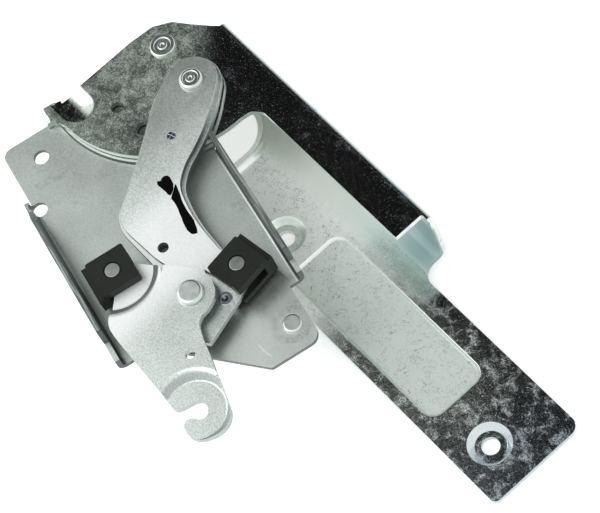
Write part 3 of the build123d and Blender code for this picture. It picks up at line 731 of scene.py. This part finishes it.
def rounded(node, body, slot, finish, round_mm, soft=None):
    shell = bmesh.new()
    shell.from_mesh(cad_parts[node].data)
    bmesh.ops.remove_doubles(shell, verts=shell.verts, dist=SAME_POINT)
    bmesh.ops.dissolve_limit(shell, angle_limit=SAME_PLANE, verts=shell.verts, edges=shell.edges)
    if soft:
        box, soft_mm = soft
        round_edges(shell, sharp_edges(shell, box), soft_mm, SOFT_SEGMENTS)
    ends = sharp_edges(shell)
    round_edges(shell, ends, round_mm, EDGE_SEGMENTS)
    mesh = bpy.data.meshes.new(node + "_rounded")
    shell.to_mesh(mesh)
    shell.free()
    mesh.materials.clear()
    mesh.materials.append(finish)
    mesh.shade_smooth()
    mesh.set_sharp_from_angle(angle=SMOOTH_BELOW)
    piece = bpy.data.objects.new(node + "_rounded", mesh)
    scene.collection.objects.link(piece)
    piece.modifiers.new("even_faces", "WEIGHTED_NORMAL").keep_sharp = True
    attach(piece, body)
    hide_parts(node)
    print(node, "edges rounded:", len(ends), "faces:", len(mesh.polygons))


print("rounding helper ready:", rounded.__name__)

# %% [markdown]
# ## The sheet-metal pieces
# A round stays well below the thickness of its sheet: the large arm gets the widest and the thin
# washers get the smallest. The step round the arm's pressed panel comes from a press tool, so its
# edges are rounded first, and wider.

# %% Bracket, arm and levers
SHEETS = {
    "base_bracket": ("base", "satin_sheet", bracket_zinc, 0.22),
    "pivot_washer": ("base", "satin_sheet", bracket_zinc, 0.1),
    "door_arm": ("arm", "zinc_sheet", bright_zinc, 0.4),
    "lever_lower": ("lever", "lever_sheet", lever_zinc, 0.25),
    "lever_upper": ("lever", "lever_sheet", lever_zinc, 0.25),
    "crank_washer": ("lever", "satin_sheet", bracket_zinc, 0.1),
    "hook_washer": ("lever", "satin_sheet", bracket_zinc, 0.1),
    "hook_lever": ("hook", "lever_sheet", lever_zinc, 0.25),
}
PANEL_BOX = ((96.0, 35.0, -28.0), (190.0, 69.5, -23.5))
PANEL_ROUND = 0.58
for node, (body, slot, finish, round_mm) in SHEETS.items():
    soft = (PANEL_BOX, PANEL_ROUND) if node == "door_arm" else None
    rounded(node, body, slot, finish, round_mm, soft)

# %% [markdown]
# ## Rivets, eyelet and pins
# These are small turned pieces. Their heads are pressed over, so the rim is round.

# %% Rivets and pins
RIVETS = {
    "foot_rivet": ("base", "bright_rivet", rivet_steel, 0.3),
    "pivot_rivet": ("base", "bright_rivet", spun_steel, 0.3),
    "crank_pin": ("lever", "bright_rivet", spun_steel, 0.3),
    "lever_clinch": ("lever", "bright_rivet", clinch_steel, 0.15),
    "tail_eyelet": ("lever", "bright_rivet", clinch_steel, 0.15),
    "hook_rivet": ("lever", "bright_rivet", rivet_steel, 0.3),
    "right_block_pin": ("lever", "pin_steel", ground_steel, 0.25),
    "left_block_pin": ("hook", "pin_steel", ground_steel, 0.25),
}
for node, (body, slot, finish, round_mm) in RIVETS.items():
    rounded(node, body, slot, finish, round_mm)

# %% [markdown]
# ## The slide blocks
# Moulded edges are rounder than those of most stamped plates, so these two get a wide bevel.

# %% Slide blocks
BLOCK_ROUND = 0.35
for node, body in (("right_slide_block", "right_block"), ("left_slide_block", "left_block")):
    rounded(node, body, "slide_plastic", block_plastic, BLOCK_ROUND)

# %% [markdown]
# ## The felt-pen mark
# A blot and one stroke cross the upper lever plate. Ink could be a zone in the plate's own
# finish, but a hand-drawn outline is easier to shape as a film: two flat outlines, drawn point
# by point in millimetres, with rounded corners and almost no thickness.

# %% Felt-pen mark
LEVER_TOP = 12.4
INK_CORNER = 0.0003
INK_THICKNESS = 0.00004
BLOT = (
    (50.9, 24.4), (50.7, 25.0), (51.5, 25.9), (50.9, 26.8), (50.8, 28.0), (51.6, 29.3),
    (52.8, 29.5), (54.5, 29.1), (56.2, 28.6), (57.7, 27.5), (58.8, 26.2), (59.4, 24.6),
    (58.4, 24.2), (56.3, 24.3), (54.1, 24.1), (52.1, 23.9))
STROKE = (
    (56.8, 29.0), (57.6, 29.1), (59.7, 28.3), (61.8, 27.6), (63.8, 26.6), (65.8, 26.0),
    (68.0, 25.4), (70.4, 24.9), (72.6, 24.7), (74.4, 24.4), (76.3, 23.6), (78.4, 22.8),
    (79.9, 21.8), (79.4, 20.9), (78.8, 20.1), (77.9, 19.9), (76.1, 19.7), (74.0, 20.2),
    (72.2, 20.7), (70.5, 21.4), (68.5, 22.1), (66.3, 22.9), (64.2, 23.5), (62.5, 23.8),
    (60.7, 23.9), (59.7, 24.9), (58.7, 26.5))
film = bmesh.new()
for outline in (BLOT, STROKE):
    corners = [film.verts.new((px / 1000, py / 1000, LEVER_TOP / 1000)) for px, py in outline]
    film.faces.new(corners)
bmesh.ops.recalc_face_normals(film, faces=film.faces)
bmesh.ops.bevel(film, geom=film.verts, offset=INK_CORNER, offset_type="OFFSET", affect="VERTICES",
                segments=3, profile=0.5, material=-1, clamp_overlap=True)
raised = bmesh.ops.extrude_face_region(film, geom=film.faces[:])["geom"]
lifted = [v for v in raised if isinstance(v, bmesh.types.BMVert)]
bmesh.ops.translate(film, vec=(0, 0, INK_THICKNESS), verts=lifted)
bmesh.ops.recalc_face_normals(film, faces=film.faces)
mark_mesh = bpy.data.meshes.new("felt_mark")
film.to_mesh(mark_mesh)
film.free()
mark_mesh.materials.append(felt_ink)
mark = bpy.data.objects.new("felt_mark", mark_mesh)
scene.collection.objects.link(mark)
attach(mark, "lever")
print("felt mark faces:", len(mark_mesh.polygons))
